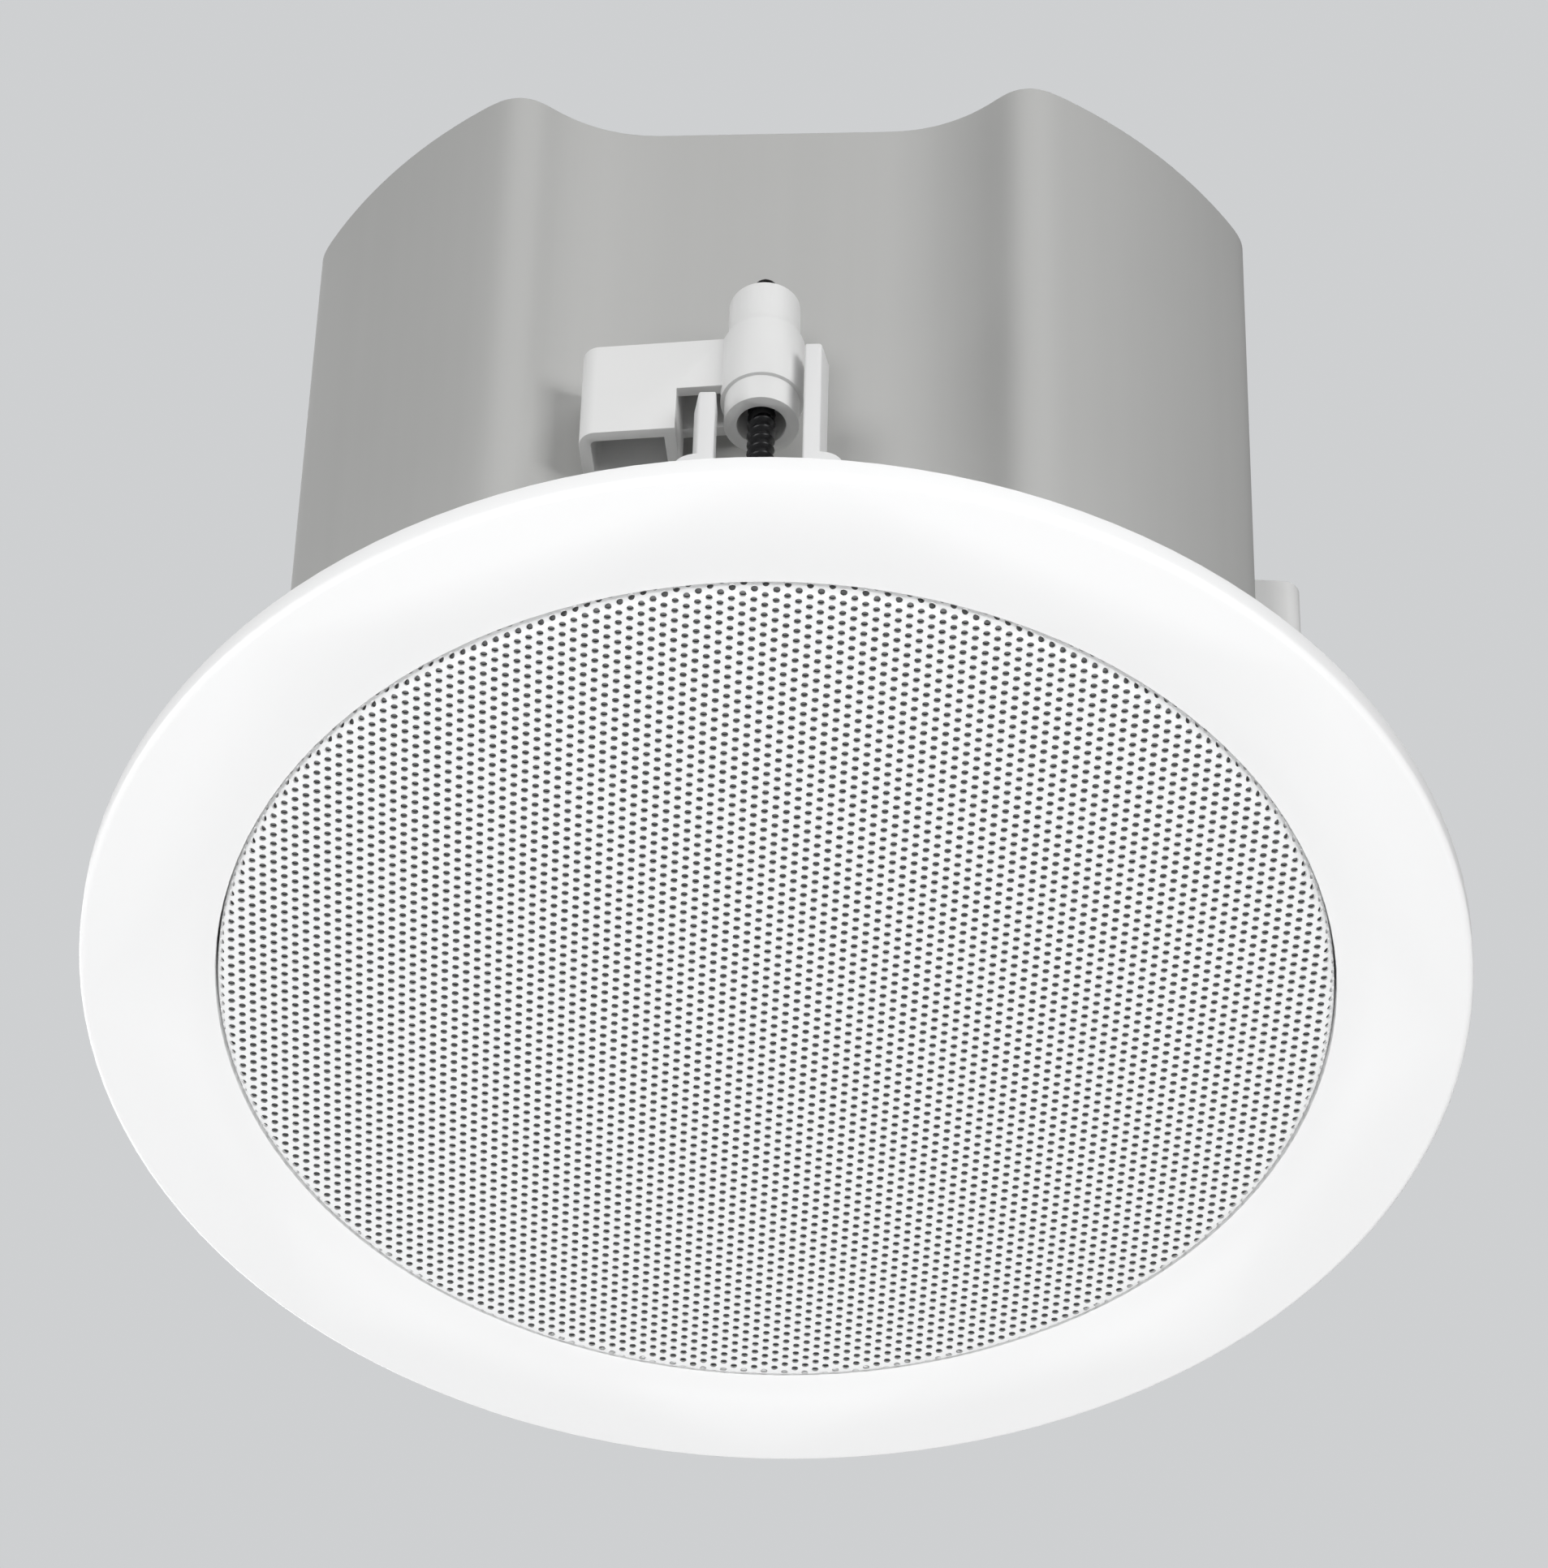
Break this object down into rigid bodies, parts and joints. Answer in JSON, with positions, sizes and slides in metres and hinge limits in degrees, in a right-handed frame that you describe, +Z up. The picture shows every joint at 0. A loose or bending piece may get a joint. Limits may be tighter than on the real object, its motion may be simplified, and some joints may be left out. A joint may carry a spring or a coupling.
{
  "type": "in-ceiling loudspeaker",
  "caption": "Round in-ceiling loudspeaker: perforated grille in a white bezel, lobed sheet-steel back can, and swing-out clamps that grip the ceiling panel.",
  "frame": {"origin": "centre of the flange's back face, in the plane of the ceiling's underside", "axes": "+Z up into the ceiling void along the speaker's axis; -Y faces the first clamp"},
  "size_m": [0.24, 0.24, 0.1694],
  "materials": {
    "white_abs": "fine satin moulding",
    "grille_paint": "white powder coat",
    "scrim_cloth": "open weave",
    "can_steel": "satin grey coating",
    "basket_steel": "black paint",
    "surround_rubber": "matt",
    "spider_cloth": "treated cloth",
    "cone_plastic": "matt moulding",
    "coil_aluminium": "bare",
    "plated_steel": "zinc plate",
    "ferrite": "ground",
    "black_plastic": "moulded",
    "clear_nylon": "moulded",
    "board_green": "lacquer",
    "capacitor_red": "gloss",
    "copper_wire": "enamelled",
    "clamp_plastic": "fine satin moulding",
    "black_steel": "black oxide"
  },
  "bodies": {
    "housing": {"bezel_baffle": "white_abs", "grille": "grille_paint", "grille_scrim": "scrim_cloth", "back_can": "can_steel", "woofer_basket": "basket_steel", "surround": "surround_rubber", "spider": "spider_cloth", "top_plate": "plated_steel", "magnet": "ferrite", "yoke": "plated_steel", "tweeter": "black_plastic", "board_spacers": "clear_nylon", "crossover_board": "board_green", "capacitor": "capacitor_red", "inductor": "copper_wire", "terminal_block": "black_plastic", "tether_bracket": "can_steel"},
    "clamp_arm_1": {"clamp_arm_1": "clamp_plastic"},
    "clamp_arm_2": {"clamp_arm_2": "clamp_plastic"},
    "clamp_arm_3": {"clamp_arm_3": "clamp_plastic"},
    "clamp_arm_4": {"clamp_arm_4": "clamp_plastic"},
    "clamp_screw_1": {"clamp_screw_1": "black_steel"},
    "clamp_screw_2": {"clamp_screw_2": "black_steel"},
    "clamp_screw_3": {"clamp_screw_3": "black_steel"},
    "clamp_screw_4": {"clamp_screw_4": "black_steel"},
    "moving_cone": {"cone": "cone_plastic", "voice_coil": "coil_aluminium"}
  },
  "joints": [
    {"name": "clamp_swing_1", "type": "hinge", "parent": "housing", "child": "clamp_arm_1", "pos_m": [0, -0.0864, 0.0525], "axis": [0, 0, 1], "range_deg": [-1, 124]},
    {"name": "clamp_screw_turn_1", "type": "hinge", "parent": "housing", "child": "clamp_screw_1", "pos_m": [0, -0.0864, 0], "axis": [0, 0, 1], "continuous": true},
    {"name": "clamp_swing_2", "type": "hinge", "parent": "housing", "child": "clamp_arm_2", "pos_m": [0.0864, 0, 0.0525], "axis": [0, 0, 1], "range_deg": [-10, 115]},
    {"name": "clamp_screw_turn_2", "type": "hinge", "parent": "housing", "child": "clamp_screw_2", "pos_m": [0.0864, 0, 0], "axis": [0, 0, 1], "continuous": true},
    {"name": "clamp_swing_3", "type": "hinge", "parent": "housing", "child": "clamp_arm_3", "pos_m": [0, 0.0864, 0.0525], "axis": [0, 0, 1], "range_deg": [-4.5, 120.4]},
    {"name": "clamp_screw_turn_3", "type": "hinge", "parent": "housing", "child": "clamp_screw_3", "pos_m": [0, 0.0864, 0], "axis": [0, 0, 1], "continuous": true},
    {"name": "clamp_swing_4", "type": "hinge", "parent": "housing", "child": "clamp_arm_4", "pos_m": [-0.0864, 0, 0.0525], "axis": [0, 0, 1], "range_deg": [-4.5, 120.4]},
    {"name": "clamp_screw_turn_4", "type": "hinge", "parent": "housing", "child": "clamp_screw_4", "pos_m": [-0.0864, 0, 0], "axis": [0, 0, 1], "continuous": true},
    {"name": "cone_travel", "type": "slide", "parent": "housing", "child": "moving_cone", "axis": [0, 0, 1], "range_m": [-0.003, 0.003], "stiffness_N_per_m": 1500, "deforming": ["surround", "spider"]}
  ]
}
